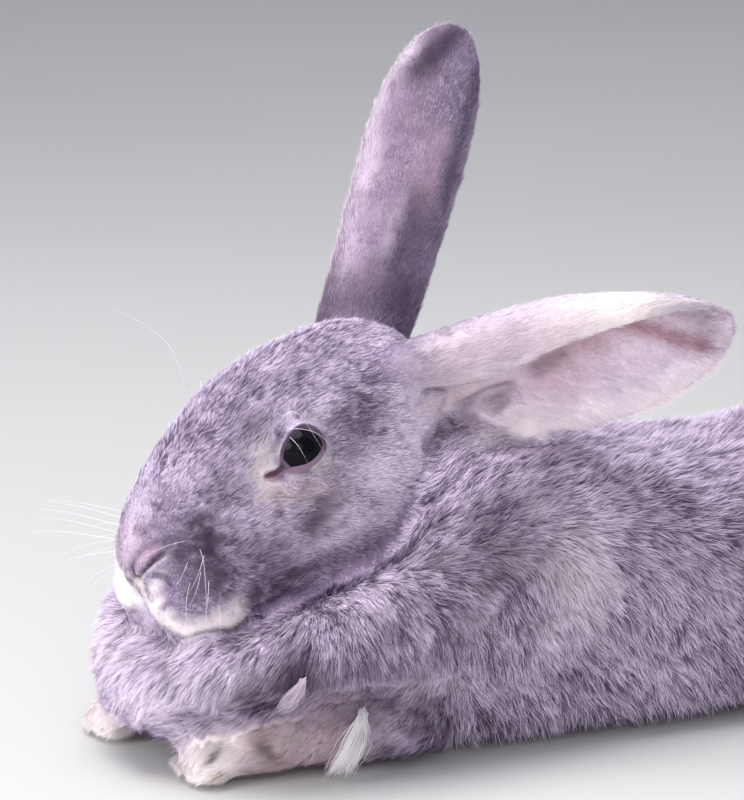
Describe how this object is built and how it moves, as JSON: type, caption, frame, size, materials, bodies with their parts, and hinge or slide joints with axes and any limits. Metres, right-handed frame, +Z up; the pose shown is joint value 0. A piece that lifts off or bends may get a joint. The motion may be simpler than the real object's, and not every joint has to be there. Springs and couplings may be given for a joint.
{
  "type": "giant rabbit",
  "caption": "Life-size still model of a large grey rabbit lying down, chin on its dewlap, one ear upright and one held out to the side.",
  "frame": {"origin": "on the floor under the middle of the trunk, on the rabbit's mid-line", "axes": "+Z up, -X from the trunk to the nose, -Y to the rabbit's left side, the side the picture shows"},
  "size_m": [0.6387, 0.2254, 0.3155],
  "materials": {
    "fur_grey": "matt fur, lavender grey with dark tips",
    "fur_pale": "matt fur, pale grey",
    "ear_skin": "short velvet fur over pink skin",
    "paw_fur": "matt short cream fur",
    "eye": "wet gloss, very dark brown"
  },
  "bodies": {
    "root": {"dewlap": "fur_pale", "ear_left": "ear_skin", "ear_right": "ear_skin", "eye_left": "eye", "eye_right": "eye", "foreleg_left": "fur_grey", "foreleg_right": "fur_grey", "forepaw_left": "paw_fur", "forepaw_right": "paw_fur", "head": "fur_grey", "hindfoot_left": "paw_fur", "hindfoot_right": "paw_fur", "hindleg_left": "fur_grey", "hindleg_right": "fur_grey", "neck": "fur_grey", "tail": "fur_grey", "trunk": "fur_grey"}
  },
  "joints": []
}
